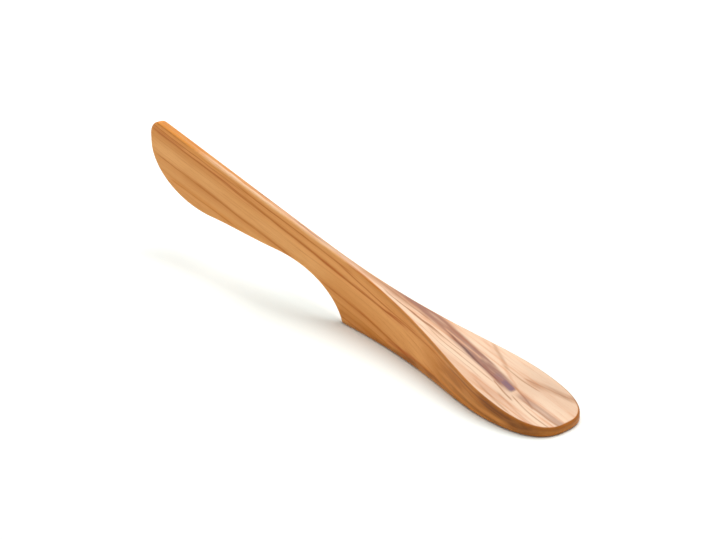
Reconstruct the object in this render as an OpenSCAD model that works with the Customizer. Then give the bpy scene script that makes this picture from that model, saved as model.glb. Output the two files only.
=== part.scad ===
// Wooden butter knife carved from one piece of wood. The flat round handle lies on the
// table and its top face climbs in one plane to the blade, which stands on edge in the air.

/* [Overall] */
// length along the sloping top face, from the rounded handle end to the blade tip
top_length = 190.4; // [170:0.2:215]
// climb of the top face towards the blade tip, in degrees
top_tilt = 12; // [11.5:0.1:13]
// height of the wood at the rounded handle end
end_height = 2.4; // [2:0.1:4]

/* [Handle] */
// greatest width of the handle
handle_width = 23.6; // [18:0.2:28]
// length of the rounded handle end, up to the greatest width
round_end_length = 17.4; // [12:0.2:22]
// fullness of the rounded end, where two is a plain ellipse
round_end_fullness = 2.6; // [2:0.1:3]
// how long the handle keeps near its full width before it narrows
handle_ease = 17.8; // [10:0.2:25]
// how gently the narrowing runs out into the blade
taper_ease = 45.4; // [30:0.2:55]
// distance from the rounded end to the point where the narrowing ends
taper_place = 96; // [85:0.5:105]

/* [Heel] */
// distance from the rounded end to the heel, where the wood leaves the table
heel_place = 89.4; // [80:0.2:94]
// lean of the heel from the table, in degrees
heel_lean = 66; // [50:1:75]
// small round where the foot turns up into the heel
heel_round = 1.2; // [0.6:0.1:2.5]
// how far the heel keeps its lean before it bends towards the blade
heel_ease = 6; // [3:0.1:9]
// distance from the heel to the neck, where the lower edge is level
neck_run = 32.5; // [26:0.5:38]
// how gently the lower edge bends from the heel to the neck
neck_ease = 21; // [12:0.5:24]

/* [Blade] */
// thickness of the blade at the neck
neck_thickness = 2.4; // [2:0.1:4]
// thickness of the blade at the tip
tip_thickness = 3.2; // [2:0.1:4]
// height of the lower edge above the table at the neck
neck_clearance = 14; // [11:0.2:16]
// height of the lower edge above the table where the nose begins
belly_clearance = 15; // [13:0.1:17]
// length of the rounded nose of the blade
nose_length = 32.5; // [22:0.5:38]
// straight end of the blade, between the rounded nose and the round at the top face
end_straight = 2.3; // [0.4:0.1:5]
// round between the top face and the end of the blade
tip_round = 5.2; // [2:0.1:6]

/* [Edges] */
// round along all long edges of the wood
edge_round = 0.8; // [0.4:0.05:0.95]
// wood planed away under the handle to leave the foot flat
foot_planing = 0.05; // [0.02:0.01:0.1]

/* [Hidden] */
wood_colour = [0.84, 0.60, 0.38];
reach = top_length * cos(top_tilt);
half_handle = handle_width / 2;
nose_place = reach - nose_length;
heel_turn = heel_place - heel_round * tan(heel_lean / 2);
heel_end = heel_turn + heel_round * sin(heel_lean);
heel_end_height = heel_round * (1 - cos(heel_lean)) - foot_planing;
neck_place = heel_place + neck_run;
tip_turn = reach - tip_round;
tip_middle = end_height + tip_turn * tan(top_tilt) - tip_round / cos(top_tilt);
nose_middle = tip_middle - end_straight;
nose_height = nose_middle - belly_clearance;
round_steps = 22;
taper_steps = 24;
heel_steps = 6;
rise_steps = 18;
belly_steps = 12;
nose_steps = 26;
corner_steps = 6;
// share of a quarter turn where the first section of the rounded end stands
first_share = 0.04;
// most of half a section that its corner rounds may take
corner_share = 0.98;

function bezier(t, a, b, c, d) =
    pow(1 - t, 3) * a + 3 * pow(1 - t, 2) * t * b + 3 * (1 - t) * pow(t, 2) * c + pow(t, 3) * d;

// share of the way along a curve at which its first coordinate reaches x
function bezier_share(x, a, b, c, d, low = 0, high = 1, turns = 24) =
    let (middle = (low + high) / 2)
    turns == 0 ? middle
    : bezier(middle, a, b, c, d) < x ? bezier_share(x, a, b, c, d, middle, high, turns - 1)
    : bezier_share(x, a, b, c, d, low, middle, turns - 1);

function taper_along(t) =
    bezier(t, round_end_length, round_end_length + handle_ease, taper_place - taper_ease, taper_place);

function half_width(x) =
    x < round_end_length
        ? half_handle * pow(1 - pow(1 - x / round_end_length, round_end_fullness), 1 / round_end_fullness)
    : x < taper_place
        ? let (t = bezier_share(x, round_end_length, round_end_length + handle_ease,
                                taper_place - taper_ease, taper_place))
          bezier(t, half_handle, half_handle, neck_thickness / 2, neck_thickness / 2)
    : let (share = (x - taper_place) / (reach - taper_place))
      (neck_thickness + (tip_thickness - neck_thickness) * pow(share, 2) * (3 - 2 * share)) / 2;

function top_line(x) =
    x < tip_turn - tip_round * sin(top_tilt)
        ? end_height + x * tan(top_tilt)
        : tip_middle + sqrt(max(0, pow(tip_round, 2) - pow(x - tip_turn, 2)));

function rise_along(t) =
    bezier(t, heel_end, heel_end + heel_ease * cos(heel_lean), neck_place - neck_ease, neck_place);

function under_line(x) =
    x < heel_turn ? -foot_planing
    : x < heel_end ? heel_round - sqrt(pow(heel_round, 2) - pow(x - heel_turn, 2)) - foot_planing
    : x < neck_place
        ? let (t = bezier_share(x, heel_end, heel_end + heel_ease * cos(heel_lean),
                                neck_place - neck_ease, neck_place))
          bezier(t, heel_end_height, heel_end_height + heel_ease * sin(heel_lean),
                 neck_clearance, neck_clearance)
    : x < nose_place
        ? let (share = (x - neck_place) / (nose_place - neck_place))
          neck_clearance + (belly_clearance - neck_clearance) * pow(share, 2) * (3 - 2 * share)
    : nose_middle - nose_height * sqrt(max(0, 1 - pow((x - nose_place) / nose_length, 2)));

// places of the cross-sections, counted from the rounded handle end
round_places = [for (i = [0 : round_steps - 1])
    let (turn = 90 * (first_share + (1 - first_share) * i / round_steps))
    round_end_length * (1 - pow(cos(turn), 2 / round_end_fullness))];
taper_places = [for (i = [0 : taper_steps - 1])
    round_end_length + (heel_turn - round_end_length) * i / taper_steps];
heel_places = [for (i = [0 : heel_steps - 1]) heel_turn + heel_round * sin(heel_lean * i / heel_steps)];
rise_places = [for (i = [0 : rise_steps - 1]) rise_along(i / rise_steps)];
belly_places = [for (i = [0 : belly_steps - 1])
    neck_place + (nose_place - neck_place) * i / belly_steps];
nose_places = [for (i = [0 : nose_steps]) nose_place + nose_length * sin(90 * i / nose_steps)];
places = concat(round_places, taper_places, heel_places, rise_places, belly_places, nose_places);
last_place = len(places) - 1;
mid_place = (places[0] + reach) / 2;

widths = [for (x = places) half_width(x)];
tops = [for (x = places) top_line(x)];
unders = [for (x = places) under_line(x)];

// how much a line that leans at section i lengthens a round cut square to it
function lean_at(line, i) =
    let (before = max(i - 1, 0), after = min(i + 1, last_place))
    sqrt(1 + pow((line[after] - line[before]) / (places[after] - places[before]), 2));

function corner(across, up, round_across, round_up, start) =
    [for (k = [0 : corner_steps])
        let (turn = start + 90 * k / corner_steps)
        [across + round_across * cos(turn), up + round_up * sin(turn)]];

// outline of the wood at section i, a rectangle with rounded corners
function section(i) =
    let (x = places[i],
         near_end = 1 - min(x / edge_round, 1),
         near_tip = 1 - min((reach - x) / edge_round, 1),
         end_round = edge_round * sqrt(1 - pow(near_end, 2)),
         tip_pinch = edge_round * (1 - sqrt(1 - pow(near_tip, 2))),
         half = widths[i] - tip_pinch,
         top = tops[i] - edge_round + end_round,
         under = unders[i] + edge_round - end_round,
         most_up = corner_share * (top - under) / 2,
         round_across = min(edge_round * lean_at(widths, i), corner_share * half),
         round_top = min(end_round * lean_at(tops, i), most_up),
         round_under = min(end_round * lean_at(unders, i), most_up),
         inner = half - round_across)
    concat(corner(inner, under + round_under, round_across, round_under, -90),
           corner(inner, top - round_top, round_across, round_top, 0),
           corner(-inner, top - round_top, round_across, round_top, 90),
           corner(-inner, under + round_under, round_across, round_under, 180));

module carved_wood() {
    loop = 4 * (corner_steps + 1);
    points = [for (i = [0 : last_place]) for (p = section(i)) [mid_place - places[i], p[0], p[1]]];
    sides = [for (i = [0 : last_place - 1]) for (j = [0 : loop - 1])
        let (a = i * loop + j, b = i * loop + (j + 1) % loop)
        for (face = [[a, b, b + loop], [a, b + loop, a + loop]]) face];
    end_face = [for (j = [loop - 1 : -1 : 0]) j];
    tip_face = [for (j = [0 : loop - 1]) last_place * loop + j];
    polyhedron(points = points, faces = concat(sides, [end_face, tip_face]));
}

// The whole knife: round handle, flat foot, heel, neck and upright blade in one piece.
module knife() {
    color(wood_colour)
    difference() {
        carved_wood();
        translate([-reach, -handle_width, -end_height])
            cube([2 * reach, 2 * handle_width, end_height]);
    }
}

knife();
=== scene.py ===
"""An olive-wood butter knife that lies on its flat handle with the blade held up in the air."""

import logging
import math
from dataclasses import dataclass, field
from enum import Enum

import bmesh
import bpy
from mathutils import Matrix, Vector, noise


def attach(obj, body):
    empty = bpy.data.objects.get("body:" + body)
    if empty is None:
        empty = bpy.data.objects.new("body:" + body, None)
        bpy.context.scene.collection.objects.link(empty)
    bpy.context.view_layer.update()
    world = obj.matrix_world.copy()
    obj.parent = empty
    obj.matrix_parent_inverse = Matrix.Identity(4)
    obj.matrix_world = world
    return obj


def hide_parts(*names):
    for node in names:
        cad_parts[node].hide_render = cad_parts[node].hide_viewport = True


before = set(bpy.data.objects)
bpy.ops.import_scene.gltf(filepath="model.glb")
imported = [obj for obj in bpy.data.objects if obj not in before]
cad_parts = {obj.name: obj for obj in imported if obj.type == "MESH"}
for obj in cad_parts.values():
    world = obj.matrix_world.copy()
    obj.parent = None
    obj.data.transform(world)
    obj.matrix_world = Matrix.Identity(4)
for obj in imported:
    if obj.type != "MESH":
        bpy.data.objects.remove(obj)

logging.basicConfig(level=logging.INFO, format="%(message)s")
log = logging.getLogger("butter_knife")

PER_METRE = 1000.0
WHITE = (1.0, 1.0, 1.0)
# sockets of Blender's mix node that hold colours
MIX_FIRST, MIX_SECOND, MIX_RESULT = 6, 7, 2


class Coordinate(Enum):
    """The direction that a streak of the wood is measured across."""

    DEPTH = "depth under the top face"
    WIDTH = "place across the knife"


class Tone(Enum):
    """Colours of the wood as linear red, green and blue."""

    HONEY = (0.89, 0.390, 0.112)
    AMBER = (0.77, 0.305, 0.068)
    STRAW = (0.95, 0.455, 0.152)
    GOLD = (0.78, 0.275, 0.035)
    SPINE = (0.66, 0.310, 0.090)
    RUST = (0.62, 0.205, 0.022)
    CREAM = (0.87, 0.620, 0.445)
    BLUSH = (0.73, 0.41, 0.26)
    TAN = (0.46, 0.225, 0.12)
    GROWTH_BROWN = (0.57, 0.145, 0.006)
    GROWTH_DARK = (0.50, 0.094, 0.004)
    HEARTWOOD = (0.27, 0.110, 0.080)
    HEARTWOOD_DARK = (0.10, 0.042, 0.045)
    KNOT = (0.115, 0.095, 0.170)
    VEIN = (0.36, 0.150, 0.070)
    # dark brown of end grain, also used for painted shade on edges and low on the walls
    END_GRAIN_AND_SHADE = (0.33, 0.095, 0.012)
    CHAR_BROWN = (0.16, 0.045, 0.008)


@dataclass(frozen=True)
class Streak:
    """One long streak of colour in the wood. Places and widths are in millimetres.

    It runs from start to end along the knife, and bow is how far its middle lies off the
    straight line between its two ends. Its width is counted from its own middle line to one
    side, softness is the share of the width that fades out, and fade is the share of the
    length over which each end does.
    """

    tone: Tone
    across: Coordinate
    start: float
    start_height: float
    end: float
    end_height: float
    width: float
    strength: float
    bow: float = 0.0
    softness: float = 0.95
    fade: float = 0.15


@dataclass
class KnifeShape:
    """Sizes of the carved knife in metres, counted from the rounded handle end."""

    top_length: float = 0.1904
    top_tilt: float = math.radians(12.0)
    end_height: float = 0.0024
    handle_width: float = 0.0236
    round_end_length: float = 0.0174
    round_end_fullness: float = 2.6
    handle_ease: float = 0.0178
    taper_ease: float = 0.0454
    taper_place: float = 0.096
    heel_place: float = 0.0894
    heel_lean: float = math.radians(66.0)
    heel_round: float = 0.0012
    heel_ease: float = 0.006
    neck_run: float = 0.0325
    neck_ease: float = 0.021
    neck_thickness: float = 0.0024
    tip_thickness: float = 0.0032
    neck_clearance: float = 0.014
    belly_clearance: float = 0.015
    nose_length: float = 0.0325
    end_straight: float = 0.0023
    tip_round: float = 0.0052
    edge_round: float = 0.0008
    first_share: float = 0.04
    corner_share: float = 0.98

    @property
    def reach(self) -> float:
        """Length of the knife along the table."""
        return self.top_length * math.cos(self.top_tilt)

    @property
    def climb(self) -> float:
        """Rise of the top face for each unit along the table."""
        return math.tan(self.top_tilt)

    @property
    def heel_turn(self) -> float:
        """Place where the flat foot starts to turn up into the heel."""
        return self.heel_place - self.heel_round * math.tan(self.heel_lean / 2)

    @property
    def heel_end(self) -> float:
        """Place where the small round of the heel ends."""
        return self.heel_turn + self.heel_round * math.sin(self.heel_lean)

    @property
    def neck_place(self) -> float:
        """Place where the lower edge is level at the neck."""
        return self.heel_place + self.neck_run

    @property
    def nose_place(self) -> float:
        """Place where the rounded nose begins."""
        return self.reach - self.nose_length

    @property
    def tip_turn(self) -> float:
        """Place of the middle of the round between the top face and the blade's end."""
        return self.reach - self.tip_round

    @property
    def tip_middle(self) -> float:
        """Height of the middle of the round between the top face and the blade's end."""
        below_top = self.tip_round / math.cos(self.top_tilt)
        return self.end_height + self.tip_turn * self.climb - below_top

    @property
    def nose_middle(self) -> float:
        """Height at which the rounded nose runs into the straight end of the blade."""
        return self.tip_middle - self.end_straight

    def half_width(self, x: float) -> float:
        """Gives half the width of the knife.

        Args:
            x: Distance from the rounded handle end.

        Returns:
            Half of the width at x.
        """
        half_handle, half_neck = self.handle_width / 2, self.neck_thickness / 2
        if x < self.round_end_length:
            share = 1 - (1 - x / self.round_end_length) ** self.round_end_fullness
            return half_handle * share ** (1 / self.round_end_fullness)
        if x < self.taper_place:
            places = (self.round_end_length, self.round_end_length + self.handle_ease,
                      self.taper_place - self.taper_ease, self.taper_place)
            share = bezier_share(x, places)
            return bezier(share, (half_handle, half_handle, half_neck, half_neck))
        share = (x - self.taper_place) / (self.reach - self.taper_place)
        return half_neck + (self.tip_thickness / 2 - half_neck) * ease(share)

    def top_line(self, x: float) -> float:
        """Gives the height of the top face.

        Args:
            x: Distance from the rounded handle end.

        Returns:
            Height above the table at x.
        """
        if x < self.tip_turn - self.tip_round * math.sin(self.top_tilt):
            return self.end_height + x * self.climb
        return self.tip_middle + math.sqrt(max(0.0, self.tip_round ** 2 - (x - self.tip_turn) ** 2))

    def under_line(self, x: float) -> float:
        """Gives the height of the lower edge: foot, heel, neck, belly and nose.

        Args:
            x: Distance from the rounded handle end.

        Returns:
            Height above the table at x.
        """
        if x < self.heel_turn:
            return 0.0
        if x < self.heel_end:
            return self.heel_round - math.sqrt(self.heel_round ** 2 - (x - self.heel_turn) ** 2)
        if x < self.neck_place:
            share = bezier_share(x, self.rise_places())
            low = self.heel_round * (1 - math.cos(self.heel_lean))
            lifted = low + self.heel_ease * math.sin(self.heel_lean)
            return bezier(share, (low, lifted, self.neck_clearance, self.neck_clearance))
        if x < self.nose_place:
            share = (x - self.neck_place) / (self.nose_place - self.neck_place)
            return self.neck_clearance + (self.belly_clearance - self.neck_clearance) * ease(share)
        share = (x - self.nose_place) / self.nose_length
        height = self.nose_middle - self.belly_clearance
        return self.nose_middle - height * math.sqrt(max(0.0, 1 - share ** 2))

    def rise_places(self) -> tuple[float, float, float, float]:
        """Gives the four guiding places of the bend from the heel to the neck."""
        return (self.heel_end, self.heel_end + self.heel_ease * math.cos(self.heel_lean),
                self.neck_place - self.neck_ease, self.neck_place)


def bezier(share: float, points: tuple[float, float, float, float]) -> float:
    """Gives one coordinate of a point on a curve with four guiding points.

    Args:
        share: Share of the way along the curve.
        points: The guiding points' coordinates.

    Returns:
        The coordinate at that share.
    """
    rest = 1 - share
    return (rest ** 3 * points[0] + 3 * rest ** 2 * share * points[1]
            + 3 * rest * share ** 2 * points[2] + share ** 3 * points[3])


def bezier_share(place: float, points: tuple[float, float, float, float], turns: int = 40) -> float:
    """Finds where a rising curve reaches a place.

    Args:
        place: The coordinate to reach.
        points: The guiding points' coordinates.
        turns: How often the stretch is halved.

    Returns:
        Share of the way along the curve.
    """
    low, high = 0.0, 1.0
    for _ in range(turns):
        middle = (low + high) / 2
        if bezier(middle, points) < place:
            low = middle
        else:
            high = middle
    return (low + high) / 2


def ease(share: float) -> float:
    """Gives a share that starts and ends softly."""
    return share * share * (3 - 2 * share)


@dataclass
class CarvedKnife:
    """The wooden body of the knife, made as a sheet wrapped round its cross-sections."""

    shape: KnifeShape = field(default_factory=KnifeShape)
    round_steps: int = 56
    taper_steps: int = 70
    heel_steps: int = 10
    rise_steps: int = 44
    belly_steps: int = 36
    nose_steps: int = 64
    corner_steps: int = 8
    side_steps: int = 14
    face_steps: int = 12
    sanding_depth: float = 0.00005
    sanding_scale: float = 70.0
    weld: float = 0.0000005

    def places(self) -> list[float]:
        """Gives the places of the cross-sections, counted from the rounded handle end."""
        s = self.shape
        quarter = math.pi / 2
        found = []
        for i in range(self.round_steps):
            turn = quarter * (s.first_share + (1 - s.first_share) * i / self.round_steps)
            found.append(s.round_end_length * (1 - math.cos(turn) ** (2 / s.round_end_fullness)))
        found += spread(s.round_end_length, s.heel_turn, self.taper_steps)
        found += [s.heel_turn + s.heel_round * math.sin(s.heel_lean * i / self.heel_steps)
                  for i in range(self.heel_steps)]
        found += [bezier(i / self.rise_steps, s.rise_places()) for i in range(self.rise_steps)]
        found += spread(s.neck_place, s.nose_place, self.belly_steps)
        found += [s.nose_place + s.nose_length * math.sin(quarter * i / self.nose_steps)
                  for i in range(self.nose_steps + 1)]
        return found

    def sections(self) -> list[list[Vector]]:
        """Works out every cross-section of the knife.

        Returns:
            One list of points round the wood for each place, from the handle to the tip.
        """
        s = self.shape
        places = self.places()
        widths = [s.half_width(x) for x in places]
        tops = [s.top_line(x) for x in places]
        unders = [s.under_line(x) for x in places]
        middle = (places[0] + s.reach) / 2
        rings = []
        for i, x in enumerate(places):
            near_end = 1 - min(x / s.edge_round, 1)
            near_tip = 1 - min((s.reach - x) / s.edge_round, 1)
            end_round = s.edge_round * math.sqrt(1 - near_end ** 2)
            half = widths[i] - s.edge_round * (1 - math.sqrt(max(0.0, 1 - near_tip ** 2)))
            top = tops[i] - s.edge_round + end_round
            under = unders[i] + s.edge_round - end_round
            most_up = s.corner_share * (top - under) / 2
            across = min(s.edge_round * lean_at(places, widths, i), s.corner_share * half)
            up_top = min(end_round * lean_at(places, tops, i), most_up)
            up_under = min(end_round * lean_at(places, unders, i), most_up)
            ring = self.ring(half, under, top, across, up_under, up_top)
            rings.append([Vector((middle - x, y, z)) for y, z in ring])
        return rings

    def ring(self, half: float, under: float, top: float, across: float,
             up_under: float, up_top: float) -> list[tuple[float, float]]:
        """Draws one cross-section as a rectangle with rounded corners.

        Args:
            half: Half of its width.
            under: Height of its lower side.
            top: Height of its upper side.
            across: Width of a corner round.
            up_under: Height of the lower corner rounds.
            up_top: Height of the upper corner rounds.

        Returns:
            Points across and up, in order round the section.
        """
        inner = half - across
        rounds = (
            (inner, under + up_under, up_under, -90, self.side_steps),
            (inner, top - up_top, up_top, 0, self.face_steps),
            (-inner, top - up_top, up_top, 90, self.side_steps),
            (-inner, under + up_under, up_under, 180, self.face_steps),
        )
        points: list[tuple[float, float]] = []
        for number, (y, z, up, start, straight_steps) in enumerate(rounds):
            for k in range(self.corner_steps + 1):
                turn = math.radians(start + 90 * k / self.corner_steps)
                points.append((y + across * math.cos(turn), z + up * math.sin(turn)))
            turn = math.radians(start + 90)
            here = points[-1]
            next_y, next_z, next_up = rounds[(number + 1) % len(rounds)][:3]
            there = (next_y + across * math.cos(turn), next_z + next_up * math.sin(turn))
            for k in range(1, straight_steps):
                share = k / straight_steps
                points.append((here[0] + (there[0] - here[0]) * share,
                               here[1] + (there[1] - here[1]) * share))
        return points

    def build(self) -> bpy.types.Object:
        """Wraps a sheet round the cross-sections and closes both ends.

        Returns:
            The knife's object.
        """
        rings = self.sections()
        along, around = len(rings) - 1, len(rings[0])
        bm = bmesh.new()
        bmesh.ops.create_grid(bm, x_segments=along, y_segments=around, size=1.0)
        for vert in bm.verts:
            i = round((vert.co.x + 1) / 2 * along)
            j = round((vert.co.y + 1) / 2 * around) % around
            vert.co = rings[i][j]
        bmesh.ops.remove_doubles(bm, verts=bm.verts, dist=self.weld)
        open_edges = [edge for edge in bm.edges if edge.is_boundary]
        bmesh.ops.holes_fill(bm, edges=open_edges, sides=0)
        self.sand(bm)
        bmesh.ops.recalc_face_normals(bm, faces=bm.faces)
        for face in bm.faces:
            face.smooth = True
        mesh = bpy.data.meshes.new("knife_wood")
        bm.to_mesh(mesh)
        bm.free()
        knife = bpy.data.objects.new("knife_wood", mesh)
        bpy.context.collection.objects.link(knife)
        return knife

    def sand(self, bm: bmesh.types.BMesh) -> None:
        """Takes away a hair of wood unevenly, as sanding by hand does.

        Args:
            bm: The knife's mesh.
        """
        bm.normal_update()
        moves = []
        for vert in bm.verts:
            amount = 0.5 + 0.5 * noise.noise(vert.co * self.sanding_scale)
            moves.append(-vert.normal * amount * self.sanding_depth)
        for vert, move in zip(bm.verts, moves):
            if vert.co.z > self.shape.edge_round:
                vert.co += move


def spread(start: float, end: float, steps: int) -> list[float]:
    """Gives evenly spaced places from start up to, but without, end."""
    return [start + (end - start) * i / steps for i in range(steps)]


def lean_at(places: list[float], line: list[float], i: int) -> float:
    """Tells how much a leaning line lengthens a round cut square to it.

    Args:
        places: Places of the cross-sections.
        line: The line's value at each place.
        i: Which place.

    Returns:
        The factor by which the round grows.
    """
    before, after = max(i - 1, 0), min(i + 1, len(places) - 1)
    return math.hypot(1, (line[after] - line[before]) / (places[after] - places[before]))


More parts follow.
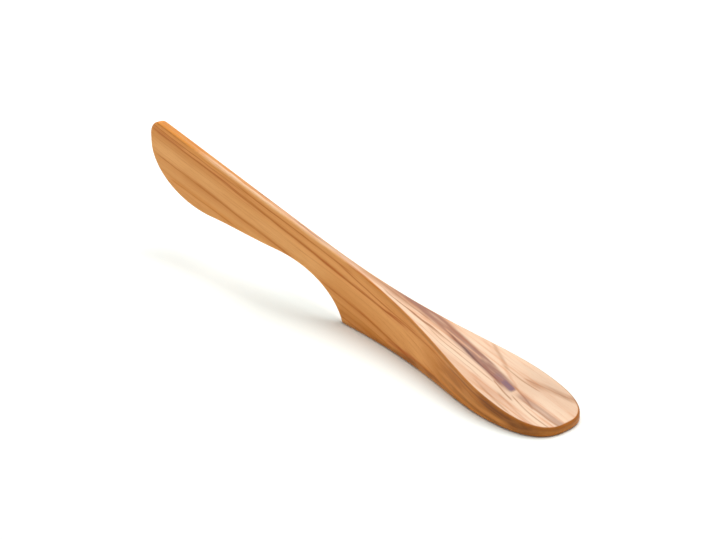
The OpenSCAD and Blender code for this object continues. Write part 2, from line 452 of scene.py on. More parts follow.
STREAKS = (
    # pale layers and growth lines on the sides
    Streak(Tone.STRAW, Coordinate.DEPTH, -99, 8.6, 4, 9.1, 3.70, 0.74, softness=0.8),
    Streak(Tone.STRAW, Coordinate.DEPTH, -72, 0.4, 12, 0.3, 0.70, 0.90, softness=0.7),
    Streak(Tone.STRAW, Coordinate.DEPTH, -99, 14.6, -20, 14.9, 1.90, 0.40),
    Streak(Tone.RUST, Coordinate.DEPTH, -98, 3.7, -30, 4.1, 1.60, 0.40),
    Streak(Tone.RUST, Coordinate.DEPTH, -50, 4.1, 12, 5.4, 1.30, 0.45, bow=0.15),
    Streak(Tone.GROWTH_BROWN, Coordinate.DEPTH, -96, 3.6, -48, 3.8, 0.60, 0.90),
    Streak(Tone.GROWTH_BROWN, Coordinate.DEPTH, -66, 3.3, -34, 4.0, 0.35, 0.50),
    Streak(Tone.GROWTH_BROWN, Coordinate.DEPTH, -56, 3.8, 8, 5.4, 0.70, 0.85, bow=0.15),
    Streak(Tone.GROWTH_BROWN, Coordinate.DEPTH, -14, 4.9, 38, 3.5, 0.64, 0.95, bow=1.35),
    Streak(Tone.GROWTH_BROWN, Coordinate.DEPTH, 22, 5.2, 66, -0.2, 0.60, 0.98, bow=-0.5),
    Streak(Tone.GROWTH_BROWN, Coordinate.DEPTH, -4, 1.3, 44, 1.3, 0.55, 0.85, bow=2.15),
    Streak(Tone.GROWTH_DARK, Coordinate.DEPTH, 8, 5.0, 34, 4.2, 0.20, 0.70, bow=0.30),
    Streak(Tone.AMBER, Coordinate.DEPTH, 22, 3.8, 72, -0.4, 1.20, 0.60, bow=0.25),
    Streak(Tone.GROWTH_BROWN, Coordinate.DEPTH, -92, 11.8, -52, 11.9, 0.45, 0.80),
    Streak(Tone.GROWTH_BROWN, Coordinate.DEPTH, -74, 11.8, -16, 12.0, 0.75, 0.80),
    Streak(Tone.RUST, Coordinate.DEPTH, -80, 11.9, -14, 12.2, 2.00, 0.45),
    Streak(Tone.GROWTH_BROWN, Coordinate.DEPTH, -8, 12.4, 44, 12.0, 0.75, 0.88, bow=0.45),
    Streak(Tone.RUST, Coordinate.DEPTH, -10, 12.8, 46, 12.8, 1.70, 0.48),
    Streak(Tone.GROWTH_DARK, Coordinate.DEPTH, 0, 17.8, 30, 15.8, 0.80, 0.55),
    Streak(Tone.GROWTH_BROWN, Coordinate.DEPTH, -99, 0.8, -70, 0.7, 0.30, 0.75),
    Streak(Tone.GROWTH_BROWN, Coordinate.DEPTH, -97, 2.2, -38, 2.3, 0.42, 0.85),
    Streak(Tone.GROWTH_BROWN, Coordinate.DEPTH, -99, 2.9, -72, 2.7, 0.40, 0.70),
    Streak(Tone.AMBER, Coordinate.DEPTH, -56, 1.6, 14, 1.9, 1.20, 0.70, bow=0.2),
    Streak(Tone.GROWTH_BROWN, Coordinate.DEPTH, 4, 0.5, 44, -1.0, 0.35, 0.70, bow=0.3),
    Streak(Tone.GROWTH_BROWN, Coordinate.DEPTH, -50, 1.6, 12, 2.2, 0.45, 0.85, bow=0.1),
    Streak(Tone.GROWTH_BROWN, Coordinate.DEPTH, -84, 17.1, -46, 16.6, 0.45, 0.90),
    Streak(Tone.GOLD, Coordinate.DEPTH, -86, 17.0, -40, 15.8, 1.40, 0.50),
    # a darker, more saturated band low on the wall along the foot by the heel
    Streak(Tone.RUST, Coordinate.DEPTH, -10, 19.2, 50, 13.2, 2.40, 0.80, fade=0.3),
    Streak(Tone.GROWTH_BROWN, Coordinate.DEPTH, -10, 15.8, 30, 14.6, 0.40, 0.60, bow=0.2),
    Streak(Tone.GROWTH_BROWN, Coordinate.DEPTH, -8, 19.6, 18, 18.4, 0.45, 0.80),
    # hair lines within the growth lines
    Streak(Tone.GROWTH_DARK, Coordinate.DEPTH, -93, 2.2, -44, 2.3, 0.17, 0.80),
    Streak(Tone.GROWTH_DARK, Coordinate.DEPTH, -94, 3.4, -42, 3.8, 0.22, 0.85),
    Streak(Tone.GROWTH_DARK, Coordinate.DEPTH, -60, 4.0, 8, 5.5, 0.22, 0.80, bow=0.15),
    Streak(Tone.GROWTH_DARK, Coordinate.DEPTH, -44, 1.8, 10, 2.2, 0.18, 0.75, bow=0.1),
    Streak(Tone.GROWTH_DARK, Coordinate.DEPTH, -10, 5.0, 36, 3.7, 0.20, 0.90, bow=1.3),
    Streak(Tone.GROWTH_DARK, Coordinate.DEPTH, 22, 5.3, 64, 0.0, 0.22, 0.90, bow=-0.5),
    Streak(Tone.GROWTH_DARK, Coordinate.DEPTH, -2, 1.4, 42, 1.5, 0.18, 0.70, bow=2.1),
    Streak(Tone.GROWTH_DARK, Coordinate.DEPTH, -72, 12.0, -18, 12.2, 0.22, 0.60),
    Streak(Tone.GROWTH_DARK, Coordinate.DEPTH, -8, 12.5, 40, 12.1, 0.28, 0.80, bow=0.45),
    # darker wood on the wall round the handle, with painted shade low on the wall where it meets
    # the table
    # painted shade along the foot, where the wall meets the table
    Streak(Tone.END_GRAIN_AND_SHADE, Coordinate.DEPTH, -12, 24.6, 44, 11.9, 1.10, 0.45, bow=-0.3),
    Streak(Tone.GROWTH_DARK, Coordinate.DEPTH, 24, 14.0, 54, 7.9, 0.75, 0.75),
    # painted shade along the foot of the wall out to the handle end
    Streak(Tone.END_GRAIN_AND_SHADE, Coordinate.DEPTH, 26, 15.6, 94, 0.8, 1.30, 0.80, bow=-1.4),
    # a dark patch on the low wall by the handle end: dark wood, partly painted shade near the table
    Streak(Tone.RUST, Coordinate.DEPTH, 41, 5.8, 110, -1.6, 5.30, 0.84, bow=-0.8, softness=0.6,
           fade=0.25),
    Streak(Tone.END_GRAIN_AND_SHADE, Coordinate.DEPTH, 48, 4.4, 94, 0.0, 4.20, 0.55, bow=-0.8, softness=0.7,
           fade=0.3),
    Streak(Tone.CHAR_BROWN, Coordinate.DEPTH, 69, -2.2, 92, 0.2, 2.10, 0.82, softness=0.8,
           fade=0.25),
    Streak(Tone.CHAR_BROWN, Coordinate.DEPTH, 54, 0.4, 86, -1.8, 0.60, 0.60, bow=-0.6),
    Streak(Tone.CHAR_BROWN, Coordinate.DEPTH, 56, 4.6, 82, 1.4, 0.45, 0.35),
    Streak(Tone.AMBER, Coordinate.DEPTH, 50, 5.2, 84, 0.2, 1.10, 0.75, bow=-0.2),
    Streak(Tone.GOLD, Coordinate.DEPTH, 40, 10.6, 78, 2.6, 0.60, 0.60, bow=-0.6),
    # fine lines along the narrow upper edge
    Streak(Tone.GROWTH_BROWN, Coordinate.WIDTH, -96, -0.9, -52, -0.8, 0.28, 0.95),
    Streak(Tone.GROWTH_BROWN, Coordinate.WIDTH, -94, 0.1, -30, 0.1, 0.30, 0.95),
    Streak(Tone.GROWTH_BROWN, Coordinate.WIDTH, -90, 0.9, -20, 0.6, 0.28, 0.95),
    Streak(Tone.GROWTH_BROWN, Coordinate.WIDTH, -60, -0.4, -10, -0.1, 0.22, 0.50),
    # painted highlight: a pale cream strip towards the near edge of the upper face
    Streak(Tone.CREAM, Coordinate.WIDTH, -78, -0.9, 34, -2.2, 0.75, 0.84, bow=0.5, fade=0.3),
    # painted highlight along the rounded upper edges of the blade and neck
    Streak(Tone.CREAM, Coordinate.DEPTH, -70, 0.1, 18, 0.1, 0.45, 0.50, softness=0.8),
    Streak(Tone.RUST, Coordinate.WIDTH, -99, 0.0, -77, 0.0, 2.20, 0.55, softness=0.6),
    Streak(Tone.HEARTWOOD, Coordinate.WIDTH, -44, 0.5, 14, 1.0, 0.35, 0.85),
    # a dark line along the far edge of the upper face: dark wood, partly painted shade
    Streak(Tone.HEARTWOOD, Coordinate.WIDTH, -50, 1.3, 36, 3.9, 0.70, 0.75, bow=-0.9, fade=0.3),
    # figure of the handle's top face
    Streak(Tone.BLUSH, Coordinate.WIDTH, -30, 0.3, 48, 1.8, 2.20, 0.90),
    Streak(Tone.TAN, Coordinate.WIDTH, -16, 1.2, 50, 0.9, 1.90, 0.50, bow=0.3, softness=0.6,
           fade=0.3),
    Streak(Tone.VEIN, Coordinate.WIDTH, -26, 0.3, 52, -2.2, 0.50, 1.0, bow=0.1),
    Streak(Tone.VEIN, Coordinate.WIDTH, -12, 0.6, 44, 0.2, 0.40, 0.90, bow=0.2),
    Streak(Tone.TAN, Coordinate.WIDTH, 0, 1.2, 40, 1.4, 0.36, 0.80, bow=0.2),
    Streak(Tone.VEIN, Coordinate.WIDTH, 10, -0.4, 60, -1.9, 0.34, 0.85, bow=-0.2),
    # painted highlight: a pale cream band along the near edge of the handle's top face
    Streak(Tone.CREAM, Coordinate.WIDTH, -10, -0.6, 46, -4.2, 0.85, 1.0, bow=1.4),
    Streak(Tone.BLUSH, Coordinate.WIDTH, 34, -6.0, 76, -9.0, 2.40, 0.48),
    Streak(Tone.TAN, Coordinate.WIDTH, -10, 0.5, 36, 0.4, 1.70, 0.60),
    Streak(Tone.TAN, Coordinate.WIDTH, 38, -6.4, 74, -9.6, 2.20, 0.20),
    Streak(Tone.BLUSH, Coordinate.WIDTH, 50, 8.6, 70, 2.2, 1.20, 0.35, bow=0.4),
    Streak(Tone.TAN, Coordinate.WIDTH, 55.5, 8.9, 69.5, 2.2, 1.10, 0.55, bow=0.35, fade=0.3),
    Streak(Tone.TAN, Coordinate.WIDTH, 65.5, 3.4, 80.5, 3.8, 0.50, 0.75, bow=-0.6),
    Streak(Tone.BLUSH, Coordinate.WIDTH, 65, 3.4, 75.5, -0.5, 0.75, 0.75),
    Streak(Tone.TAN, Coordinate.WIDTH, 72.5, 4.2, 88, 9.9, 0.50, 0.75, bow=-0.7),
    Streak(Tone.TAN, Coordinate.WIDTH, 73, 4.0, 93, 12.0, 2.20, 0.62, bow=-0.4, softness=0.7,
           fade=0.3),
    Streak(Tone.HEARTWOOD, Coordinate.WIDTH, -20, 1.6, 44, 3.4, 0.90, 0.70, bow=0.2, fade=0.3),
    Streak(Tone.HEARTWOOD, Coordinate.WIDTH, 14, 3.4, 77, -3.6, 2.90, 0.90, bow=2.2, softness=0.6),
    Streak(Tone.HEARTWOOD, Coordinate.WIDTH, 24, 3.9, 68, 0.9, 0.75, 0.80, bow=0.7),
    Streak(Tone.BLUSH, Coordinate.WIDTH, 44, 1.7, 66, -0.2, 0.50, 0.70),
    Streak(Tone.HEARTWOOD_DARK, Coordinate.WIDTH, 46, 1.2, 73.5, -3.7, 0.58, 0.90),
    Streak(Tone.HEARTWOOD_DARK, Coordinate.WIDTH, 60, 0.2, 75, -1.6, 0.70, 0.55),
    Streak(Tone.HEARTWOOD, Coordinate.WIDTH, 62, -0.4, 76.4, -2.4, 2.50, 0.80, softness=0.7),
    Streak(Tone.KNOT, Coordinate.WIDTH, 67, -1.1, 76, -2.5, 1.90, 0.60, fade=0.22),
    Streak(Tone.KNOT, Coordinate.WIDTH, 70.5, -1.6, 76.2, -2.5, 1.50, 1.0, softness=0.7,
           fade=0.25),
    Streak(Tone.TAN, Coordinate.WIDTH, 74, -0.8, 84.5, -4.2, 0.50, 0.85, bow=0.35),
    Streak(Tone.HEARTWOOD, Coordinate.WIDTH, 76, -2.2, 98, -1.2, 1.80, 0.55, bow=-0.9,
           softness=0.7),
    Streak(Tone.TAN, Coordinate.WIDTH, 79, -3.2, 97, -2.0, 0.42, 0.85, bow=-0.9),
    Streak(Tone.TAN, Coordinate.WIDTH, 69, -3.9, 79, -6.1, 0.42, 0.95, bow=-0.3),
    Streak(Tone.TAN, Coordinate.WIDTH, 76, -4.2, 93.5, -5.5, 0.45, 0.90, bow=-1.1),
    Streak(Tone.TAN, Coordinate.WIDTH, 40, -2.2, 72, -4.9, 0.42, 0.65, bow=-0.2),
    Streak(Tone.TAN, Coordinate.WIDTH, 38, -3.2, 68, -6.4, 0.36, 0.45, bow=-0.3),
    Streak(Tone.TAN, Coordinate.WIDTH, 65, -7.9, 82.5, -10.5, 0.62, 0.85, bow=-0.4),
    Streak(Tone.TAN, Coordinate.WIDTH, 73, -6.6, 90, -8.8, 0.55, 0.65, bow=-0.5),
    Streak(Tone.BLUSH, Coordinate.WIDTH, 62, -7.4, 92, -9.4, 2.20, 0.80),
)


@dataclass(frozen=True)
class Ramp:
    """A soft rise from 0 at low to full at high, where low may lie above high."""

    low: float
    high: float
    full: float = 1.0


@dataclass(frozen=True)
class WoodPlaces:
    """Where a point lies in the wood: outputs that hold millimetres.

    Grain is its place along the knife, across it and through the growth layers, and across
    gives what each kind of streak is measured by.
    """

    x: bpy.types.NodeSocket
    depth: bpy.types.NodeSocket
    grain: bpy.types.NodeSocket
    across: dict[Coordinate, bpy.types.NodeSocket]


@dataclass(frozen=True)
class OliveWood:
    """Oiled olive wood, sanded to a satin sheen. Lengths in the pattern are millimetres.

    A scale gives features to each millimetre along the knife, across it and through the
    growth layers.
    """

    name: str = "olive_wood"
    roughness_low: float = 0.40
    roughness_high: float = 0.56
    specular: float = 0.18
    coat: float = 0.03
    coat_roughness: float = 0.30
    pore_bump: float = 0.12
    bump_distance: float = 0.00006

    curl: float = 0.02
    wander: float = 0.9
    wander_scale: tuple[float, float, float] = (0.028, 0.10, 0.22)
    ripple: float = 0.5
    ripple_scale: tuple[float, float, float] = (0.11, 0.35, 0.50)
    sideways: float = 1.6

    cloud_scale: tuple[float, float, float] = (0.012, 0.16, 0.22)
    fibre_scale: tuple[float, float, float] = (0.035, 0.55, 2.1)
    gap_scale: tuple[float, float, float] = (0.07, 0.50, 0.60)
    pore_scale: tuple[float, float, float] = (0.22, 5.5, 7.0)

    top_zone: Ramp = Ramp(0.13, 0.0)
    amber_clouds: Ramp = Ramp(0.35, 0.68)
    blush_clouds: Ramp = Ramp(0.40, 0.70, 0.38)
    blush_neck: Ramp = Ramp(34.0, -10.0)
    spine_blade: Ramp = Ramp(0.0, -60.0)
    gold_edge: Ramp = Ramp(4.2, 1.2, 0.7)
    gold_blade: Ramp = Ramp(-25.0, -70.0)
    # where painted shade lies along the rounded edge of the handle's top face
    shade_rim_upper: Ramp = Ramp(0.01, 0.13)
    shade_rim_lower: Ramp = Ramp(1.5, 0.4)
    shade_rim_handle: Ramp = Ramp(0.0, 55.0, 0.70)
    # darkening of walls that face along the knife: end grain, partly painted shade
    cut_walls_and_shade: Ramp = Ramp(0.15, 0.60, 0.30)
    streak_gaps: Ramp = Ramp(0.34, 0.56, 0.35)
    dark_fibres: Ramp = Ramp(0.48, 0.74, 0.40)
    pore_flecks: Ramp = Ramp(0.56, 0.74, 0.30)

    def build(self, shape: KnifeShape) -> bpy.types.Material:
        """Makes the material from the knife's own places.

        Args:
            shape: The knife's sizes, which give the slope that the growth layers follow.

        Returns:
            The finished material.
        """
        material = bpy.data.materials.new(self.name)
        material.use_nodes = True
        desk = NodeDesk(material.node_tree)
        shader = material.node_tree.nodes["Principled BSDF"]
        places = self.places(desk, shape)
        top_zone = desk.ramp(places.depth, self.top_zone)
        fibres = desk.noise(places.grain, self.fibre_scale, detail=5.0)

        side, top = self.plain_wood(desk, places)
        side, top = self.with_streaks(desk, places, side, top)
        colour = desk.mix(top_zone, side, top)
        # walls that face along the knife: darker end grain, partly painted shade
        colour = desk.mix(self.end_grain_and_shade(desk, top_zone), colour, Tone.END_GRAIN_AND_SHADE.value)
        # painted shade: a brown rim that dulls the highlight on the edge of the handle's top face
        colour = desk.mix(self.arris_shade(desk, places), colour, Tone.END_GRAIN_AND_SHADE.value)
        colour = desk.mix(desk.ramp(fibres, self.dark_fibres), colour, Tone.GROWTH_BROWN.value)
        pores = desk.noise(places.grain, self.pore_scale, detail=2.0)
        colour = desk.mix(desk.ramp(pores, self.pore_flecks), colour, Tone.GROWTH_BROWN.value)
        desk.join(colour, shader.inputs["Base Color"])
        self.oil(desk, shader, fibres, pores)
        return material

    def places(self, desk: "NodeDesk", shape: KnifeShape) -> WoodPlaces:
        """Works out where a point lies in the wood.

        Args:
            desk: Where the nodes are made.
            shape: The knife's sizes.

        Returns:
            The outputs that hold its places.
        """
        coordinates = desk.add("ShaderNodeTexCoord")
        in_mm = desk.add("ShaderNodeVectorMath", operation="SCALE")
        in_mm.inputs["Scale"].default_value = PER_METRE
        desk.join(coordinates.outputs["Object"], in_mm.inputs[0])
        split = desk.add("ShaderNodeSeparateXYZ")
        desk.join(in_mm.outputs[0], split.inputs[0])
        x, y, z = split.outputs

        depth = self.depth(desk, shape, x, z)
        square = desk.maths("MULTIPLY", y, y)
        layer = desk.maths("SUBTRACT", depth, desk.maths("MULTIPLY", square, self.curl))
        grain = desk.add("ShaderNodeCombineXYZ")
        for source, socket in zip((x, y, layer), grain.inputs):
            desk.join(source, socket)

        wander = desk.noise(grain.outputs[0], self.wander_scale, detail=3.0)
        ripple = desk.noise(grain.outputs[0], self.ripple_scale, detail=2.0)
        shift = desk.maths("ADD",
                           desk.maths("MULTIPLY", desk.maths("SUBTRACT", wander, 0.5), self.wander),
                           desk.maths("MULTIPLY", desk.maths("SUBTRACT", ripple, 0.5), self.ripple))
        across = {
            Coordinate.DEPTH: desk.maths("ADD", layer, shift),
            Coordinate.WIDTH: desk.maths("ADD", y, desk.maths("MULTIPLY", shift, self.sideways)),
        }
        return WoodPlaces(x, depth, grain.outputs[0], across)

    def depth(self, desk: "NodeDesk", shape: KnifeShape, x: object, z: object) -> object:
        """Works out how deep a point lies under the plane of the top face.

        Args:
            desk: Where the nodes are made.
            shape: The knife's sizes.
            x: The place along the knife.
            z: The height.

        Returns:
            The output that holds the depth.
        """
        at_middle = (shape.end_height + shape.reach / 2 * shape.climb) * PER_METRE
        fall = desk.maths("MULTIPLY", x, shape.climb)
        return desk.maths("SUBTRACT", desk.maths("SUBTRACT", at_middle, fall), z)

    def plain_wood(self, desk: "NodeDesk", places: WoodPlaces) -> tuple[object, object]:
        """Mixes the clouded colours of the wood that lie under its streaks.

        Args:
            desk: Where the nodes are made.
            places: Where a point lies in the wood.

        Returns:
            The colours of the sides and of the top face.
        """
        clouds = desk.noise(places.grain, self.cloud_scale, detail=2.0)
        side = desk.mix(desk.ramp(clouds, self.amber_clouds), Tone.HONEY.value, Tone.AMBER.value)
        golden = desk.maths("MULTIPLY", desk.ramp(places.depth, self.gold_edge),
                            desk.ramp(places.x, self.gold_blade))
        side = desk.mix(golden, side, Tone.GOLD.value)
        top = desk.mix(desk.ramp(clouds, self.blush_clouds), Tone.CREAM.value, Tone.BLUSH.value)
        top = desk.mix(desk.ramp(places.x, self.blush_neck), top, Tone.BLUSH.value)
        top = desk.mix(desk.ramp(places.x, self.spine_blade), top, Tone.SPINE.value)
        return side, top

    def with_streaks(self, desk: "NodeDesk", places: WoodPlaces, side: object,
                     top: object) -> tuple[object, object]:
        """Lays every streak over the plain wood.

        Args:
            desk: Where the nodes are made.
            places: Where a point lies in the wood.
            side: The colour of the sides.
            top: The colour of the top face.

        Returns:
            The colours of the sides and of the top face with their streaks.
        """
        broken = desk.noise(places.grain, self.gap_scale, detail=2.0)
        held = desk.maths("ADD", desk.ramp(broken, self.streak_gaps), 1.0 - self.streak_gaps.full)
        group = streak_group()
        for streak in STREAKS:
            mask = self.streak(desk, group, streak, places.x, places.across[streak.across])
            mask = desk.maths("MULTIPLY", mask, held)
            if streak.across is Coordinate.DEPTH:
                side = desk.mix(mask, side, streak.tone.value)
            else:
                top = desk.mix(mask, top, streak.tone.value)
        return side, top

    def arris_shade(self, desk: "NodeDesk", places: WoodPlaces) -> object:
        """Gives the mask of a brown rim of painted shade along the edge of the handle's top face.

        Args:
            desk: Where the nodes are made.
            places: Where a point lies in the wood.

        Returns:
            The output that holds the mask.
        """
        rim = desk.maths("MULTIPLY", desk.ramp(places.depth, self.shade_rim_upper),
                         desk.ramp(places.depth, self.shade_rim_lower))
        return desk.maths("MULTIPLY", rim, desk.ramp(places.x, self.shade_rim_handle))

    def end_grain_and_shade(self, desk: "NodeDesk", top_zone: object) -> object:
        """Gives the mask of the walls that cut across the fibres: end grain, partly painted shade.

        Args:
            desk: Where the nodes are made.
            top_zone: The mask of the top face, which stays pale.

        Returns:
            The output that holds the mask.
        """
        geometry = desk.add("ShaderNodeNewGeometry")
        split = desk.add("ShaderNodeSeparateXYZ")
        desk.join(geometry.outputs["Normal"], split.inputs[0])
        facing = desk.maths("ABSOLUTE", split.outputs["X"])
        below = desk.maths("SUBTRACT", 1.0, top_zone)
        return desk.maths("MULTIPLY", desk.ramp(facing, self.cut_walls_and_shade), below)

    def oil(self, desk: "NodeDesk", shader: bpy.types.Node, fibres: object,
            pores: object) -> None:
        """Gives the wood its satin sheen and its shallow pores.

        Args:
            desk: Where the nodes are made.
            shader: The material's shader.
            fibres: The pattern of the fibres, which roughen the sheen.
            pores: The pattern of the pores.
        """
        shader.inputs["Specular IOR Level"].default_value = self.specular
        shader.inputs["Coat Weight"].default_value = self.coat
        shader.inputs["Coat Roughness"].default_value = self.coat_roughness
        rough = desk.add("ShaderNodeMapRange")
        rough.inputs["To Min"].default_value = self.roughness_low
        rough.inputs["To Max"].default_value = self.roughness_high
        desk.join(fibres, rough.inputs["Value"])
        desk.join(rough.outputs[0], shader.inputs["Roughness"])
        bump = desk.add("ShaderNodeBump")
        bump.inputs["Strength"].default_value = self.pore_bump
        bump.inputs["Distance"].default_value = self.bump_distance
        desk.join(pores, bump.inputs["Height"])
        desk.join(bump.outputs[0], shader.inputs["Normal"])

    def streak(self, desk: "NodeDesk", group: bpy.types.NodeTree, streak: Streak,
               x: object, across: object) -> object:
        """Places one streak.

        Args:
            desk: Where the nodes are made.
            group: The streak's node group.
            streak: The streak's places.
            x: The place along the knife.
            across: The place across the streak.

        Returns:
            The output that holds its mask.
        """
        node = desk.add("ShaderNodeGroup")
        node.node_tree = group
        values = {
            "Start": streak.start, "Start Height": streak.start_height,
            "End": streak.end, "End Height": streak.end_height, "Bow": streak.bow,
            "Width": streak.width, "Softness": streak.softness,
            "Fade": streak.fade, "Strength": streak.strength,
        }
        for label, value in values.items():
            node.inputs[label].default_value = value
        desk.join(x, node.inputs["Along"])
        desk.join(across, node.inputs["Across"])
        return node.outputs["Mask"]


@dataclass
class NodeDesk:
    """Short ways to lay out shader nodes in one tree."""

    tree: bpy.types.NodeTree

    def add(self, kind: str, **settings: object) -> bpy.types.Node:
        """Adds a node and sets its options."""
        node = self.tree.nodes.new(kind)
        for label, value in settings.items():
            setattr(node, label, value)
        return node

    def join(self, source: object, target: bpy.types.NodeSocket) -> None:
        """Feeds an output or a plain value into an input."""
        if isinstance(source, bpy.types.NodeSocket):
            self.tree.links.new(source, target)
        elif isinstance(source, tuple):
            target.default_value = (*source, 1.0)
        else:
            target.default_value = source

    def maths(self, operation: str, first: object, second: object = 0.0) -> bpy.types.NodeSocket:
        """Adds one step of arithmetic.

        Args:
            operation: Blender's name of the step.
            first: An output or a number.
            second: An output or a number.

        Returns:
            The output that holds the result.
        """
        node = self.add("ShaderNodeMath", operation=operation)
        self.join(first, node.inputs[0])
        self.join(second, node.inputs[1])
        return node.outputs[0]

    def slope(self, value: object, low: float, high: float) -> bpy.types.NodeSocket:
        """Rises softly from 0 where value is low to 1 where it is high.

        Args:
            value: The output that is read.
            low: Where the result is 0. It may lie above high.
            high: Where the result is 1.

        Returns:
            The output that holds the result.
        """
        node = self.add("ShaderNodeMapRange", interpolation_type="SMOOTHSTEP", clamp=False)
        flipped = low > high
        node.inputs["From Min"].default_value = min(low, high)
        node.inputs["From Max"].default_value = max(low, high)
        node.inputs["To Min"].default_value = 1.0 if flipped else 0.0
        node.inputs["To Max"].default_value = 0.0 if flipped else 1.0
        self.join(value, node.inputs["Value"])
        return node.outputs[0]

    def ramp(self, value: object, ramp: Ramp) -> bpy.types.NodeSocket:
        """Rises softly in the way that a ramp says.

        Args:
            value: The output that is read.
            ramp: Where the rise starts and ends, and how high it gets.

        Returns:
            The output that holds the result.
        """
        rise = self.slope(value, ramp.low, ramp.high)
        return rise if ramp.full == 1.0 else self.maths("MULTIPLY", rise, ramp.full)

    def noise(self, vector: object, scale: tuple[float, float, float],
              detail: float) -> bpy.types.NodeSocket:
        """Adds a noise pattern with its own scale along each axis.

        Args:
            vector: The place that is read.
            scale: Features to each millimetre, along each axis.
            detail: How many finer layers it holds.

        Returns:
            The output that holds the noise.
        """
        stretch = self.add("ShaderNodeVectorMath", operation="MULTIPLY")
        stretch.inputs[1].default_value = scale
        self.join(vector, stretch.inputs[0])
        node = self.add("ShaderNodeTexNoise")
        node.inputs["Scale"].default_value = 1.0
        node.inputs["Detail"].default_value = detail
        self.join(stretch.outputs[0], node.inputs["Vector"])
        return node.outputs["Fac"]

    def mix(self, factor: object, first: object, second: object) -> bpy.types.NodeSocket:
        """Mixes two colours.

        Args:
            factor: Share of the second colour.
            first: An output or a colour.
            second: An output or a colour.

        Returns:
            The output that holds the mixed colour.
        """
        node = self.add("ShaderNodeMix", data_type="RGBA")
        self.join(factor, node.inputs[0])
        self.join(first, node.inputs[MIX_FIRST])
        self.join(second, node.inputs[MIX_SECOND])
        return node.outputs[MIX_RESULT]


def streak_group() -> bpy.types.NodeTree:
    """Makes the node group that draws one long streak of the wood.

    Returns:
        A group that takes a place along and across the wood and puts out a mask.
    """
    tree = bpy.data.node_groups.new("wood_streak", "ShaderNodeTree")
    labels = ("Along", "Across", "Start", "Start Height", "End", "End Height",
              "Bow", "Width", "Softness", "Fade", "Strength")
    for label in labels:
        tree.interface.new_socket(name=label, in_out="INPUT", socket_type="NodeSocketFloat")
    tree.interface.new_socket(name="Mask", in_out="OUTPUT", socket_type="NodeSocketFloat")
    desk = NodeDesk(tree)
    given = desk.add("NodeGroupInput").outputs
    result = desk.add("NodeGroupOutput")

    passed = desk.maths("SUBTRACT", given["Along"], given["Start"])
    length = desk.maths("SUBTRACT", given["End"], given["Start"])
    share = desk.maths("DIVIDE", passed, length)
    arch = parabola(desk, share)
    rise = desk.maths("SUBTRACT", given["End Height"], given["Start Height"])
    straight = desk.maths("ADD", given["Start Height"], desk.maths("MULTIPLY", rise, share))
    centre = desk.maths("ADD", straight, desk.maths("MULTIPLY", arch, given["Bow"]))
    off = desk.maths("ABSOLUTE", desk.maths("SUBTRACT", given["Across"], centre))

    hard = desk.maths("MULTIPLY", given["Width"], desk.maths("SUBTRACT", 1.0, given["Softness"]))
    band = desk.add("ShaderNodeMapRange", interpolation_type="SMOOTHSTEP", clamp=False)
    band.inputs["To Min"].default_value = 1.0
    band.inputs["To Max"].default_value = 0.0
    desk.join(off, band.inputs["Value"])
    desk.join(hard, band.inputs["From Min"])
    desk.join(given["Width"], band.inputs["From Max"])

    full = parabola(desk, given["Fade"])
    ends = desk.add("ShaderNodeMapRange", interpolation_type="SMOOTHSTEP", clamp=False)
    desk.join(arch, ends.inputs["Value"])
    desk.join(full, ends.inputs["From Max"])
    faded = desk.maths("MULTIPLY", band.outputs[0], ends.outputs[0])
    desk.join(desk.maths("MULTIPLY", faded, given["Strength"]), result.inputs["Mask"])
    return tree


def parabola(desk: NodeDesk, share: object) -> bpy.types.NodeSocket:
    """Gives a curve that is 0 at both ends of a stretch and 1 at its middle.

    Args:
        desk: Where the nodes are made.
        share: Share of the way along the stretch.

    Returns:
        The output that holds the curve's value.
    """
    rest = desk.maths("SUBTRACT", 1.0, share)
    return desk.maths("MULTIPLY", desk.maths("MULTIPLY", share, rest), 4.0)


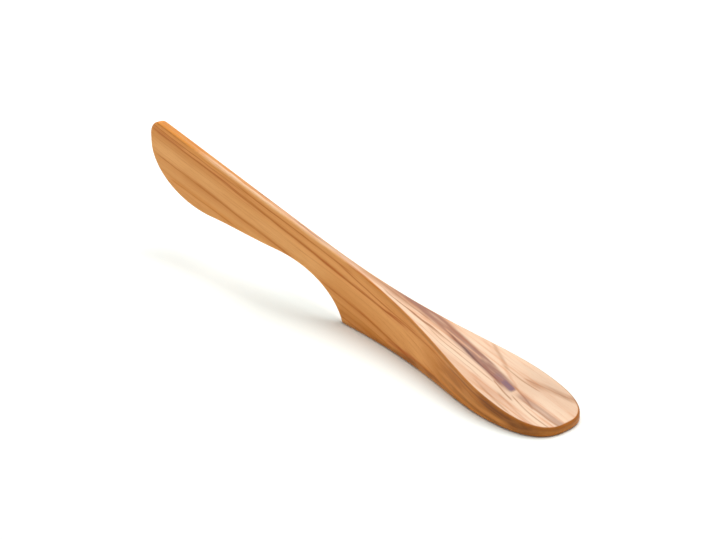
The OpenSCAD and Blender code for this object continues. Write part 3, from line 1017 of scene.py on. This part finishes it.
@dataclass
class Table:
    """The pale table top that the knife lies on. Lengths are metres.

    Two ramps lift its brightness for the camera alone: one along the knife under the blade,
    and one by the distance from the knife.
    """

    half_size: float = 2.0
    gap: float = 0.00002
    colour: tuple[float, float, float] = (0.925, 0.937, 0.905)
    blade_lift: Ramp = Ramp(-0.010, -0.055, 0.19)
    far_lift: Ramp = Ramp(0.15, 0.45, 0.90)
    contact: float = 0.0001

    def build(self) -> bpy.types.Object:
        """Makes the table top as a flat sheet a hair below the knife's foot.

        Returns:
            The table's object.
        """
        bm = bmesh.new()
        bmesh.ops.create_grid(bm, x_segments=1, y_segments=1, size=self.half_size)
        bmesh.ops.translate(bm, verts=bm.verts, vec=(0.0, 0.0, -self.gap))
        mesh = bpy.data.meshes.new("table_top")
        bm.to_mesh(mesh)
        bm.free()
        table = bpy.data.objects.new("table_top", mesh)
        bpy.context.collection.objects.link(table)
        mesh.materials.append(self.surface())
        return table

    def surface(self) -> bpy.types.Material:
        """Makes a matt white that looks brighter under the blade and far from the knife.

        From below the sheet can't be seen, and it lets very short rays through, so that it
        neither hides nor darkens the knife's foot.

        Returns:
            The finished material.
        """
        material = bpy.data.materials.new("table_white")
        material.use_nodes = True
        desk = NodeDesk(material.node_tree)
        shader = material.node_tree.nodes["Principled BSDF"]
        shader.inputs["Base Color"].default_value = (*self.colour, 1.0)
        shader.inputs["Roughness"].default_value = 1.0
        shader.inputs["Specular IOR Level"].default_value = 0.0
        shader.inputs["Emission Color"].default_value = (*WHITE, 1.0)
        place = desk.add("ShaderNodeTexCoord").outputs["Object"]
        split = desk.add("ShaderNodeSeparateXYZ")
        desk.join(place, split.inputs[0])
        under_blade = desk.ramp(split.outputs["X"], self.blade_lift)
        distance = desk.add("ShaderNodeVectorMath", operation="LENGTH")
        desk.join(place, distance.inputs[0])
        far_off = desk.ramp(distance.outputs["Value"], self.far_lift)
        both = desk.maths("ADD", under_blade, far_off)
        path = desk.add("ShaderNodeLightPath").outputs
        desk.join(desk.maths("MULTIPLY", both, path["Is Camera Ray"]),
                  shader.inputs["Emission Strength"])
        above = desk.maths("SUBTRACT", 1.0, desk.add("ShaderNodeNewGeometry").outputs["Backfacing"])
        apart = desk.maths("GREATER_THAN", path["Ray Length"], self.contact)
        desk.join(desk.maths("MULTIPLY", above, apart), shader.inputs["Alpha"])
        return material


@dataclass
class Studio:
    """Soft light from above and the photograph's camera.

    Places and lamp sizes are metres, angles degrees, and the lens and sensor millimetres.
    """

    camera_place: tuple[float, float, float] = (0.33282, -0.28670, 0.20933)
    camera_azimuth: float = 48.407
    camera_elevation: float = 23.763
    sensor_width: float = 36.0
    lens: float = 80.447
    nearest: float = 0.01
    sky_strength: float = 0.20
    sky_colour: tuple[float, float, float] = (0.80, 1.0, 0.97)
    lamp_place: tuple[float, float, float] = (0.0, 0.25, 0.94)
    lamp_size: float = 0.9
    lamp_power: float = 12.3
    fill_place: tuple[float, float, float] = (-0.55, -0.75, 0.25)
    fill_size: float = 0.6
    fill_power: float = 1.8

    def build(self) -> None:
        """Sets up the camera, the sky, the lamps and plain colour handling."""
        self.build_camera()
        self.build_sky()
        self.build_lamp("softbox", self.lamp_place, self.lamp_size, self.lamp_power)
        self.build_lamp("fill", self.fill_place, self.fill_size, self.fill_power)
        bpy.context.scene.view_settings.view_transform = "Standard"

    def build_camera(self) -> None:
        """Places the camera where the photograph was taken from."""
        azimuth, elevation = math.radians(self.camera_azimuth), math.radians(self.camera_elevation)
        back = Vector((math.sin(azimuth) * math.cos(elevation),
                       -math.cos(azimuth) * math.cos(elevation), math.sin(elevation)))
        data = bpy.data.cameras.new("camera")
        data.lens = self.lens
        data.sensor_width = self.sensor_width
        data.clip_start = self.nearest
        camera = bpy.data.objects.new("camera", data)
        camera.location = self.camera_place
        camera.rotation_euler = (-back).to_track_quat("-Z", "Y").to_euler()
        bpy.context.collection.objects.link(camera)
        bpy.context.scene.camera = camera

    def build_sky(self) -> None:
        """Makes an even cool sky that the camera and reflections see as plain white."""
        world = bpy.data.worlds.new("sky")
        world.use_nodes = True
        bpy.context.scene.world = world
        desk = NodeDesk(world.node_tree)
        background = world.node_tree.nodes["Background"]
        path = desk.add("ShaderNodeLightPath")
        seen = desk.maths("MAXIMUM", path.outputs["Is Camera Ray"], path.outputs["Is Glossy Ray"])
        desk.join(desk.mix(seen, self.sky_colour, WHITE), background.inputs["Color"])
        strength = desk.add("ShaderNodeMapRange")
        strength.inputs["To Min"].default_value = self.sky_strength
        strength.inputs["To Max"].default_value = 1.0
        desk.join(seen, strength.inputs["Value"])
        desk.join(strength.outputs[0], background.inputs["Strength"])

    def build_lamp(self, name: str, place: tuple[float, float, float], size: float,
                   power: float) -> None:
        """Hangs a square soft lamp that looks at the knife.

        Args:
            name: What the lamp is called.
            place: Where its middle hangs.
            size: Length of its side.
            power: Its power in watts.
        """
        data = bpy.data.lights.new(name, "AREA")
        data.shape = "SQUARE"
        data.size = size
        data.energy = power
        lamp = bpy.data.objects.new(name, data)
        lamp.location = place
        lamp.rotation_euler = (-Vector(place)).to_track_quat("-Z", "Y").to_euler()
        bpy.context.collection.objects.link(lamp)


def main() -> None:
    """Builds the knife, its wood, the table and the studio."""
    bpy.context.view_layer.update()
    body = CarvedKnife()
    knife = body.build()
    knife.data.materials.append(OliveWood().build(body.shape))
    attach(knife, "root")
    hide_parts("knife")
    log.info("%s: %d faces", knife.name, len(knife.data.polygons))
    table = Table().build()
    log.info("%s: %d faces", table.name, len(table.data.polygons))
    Studio().build()


if __name__ == "__main__":
    main()
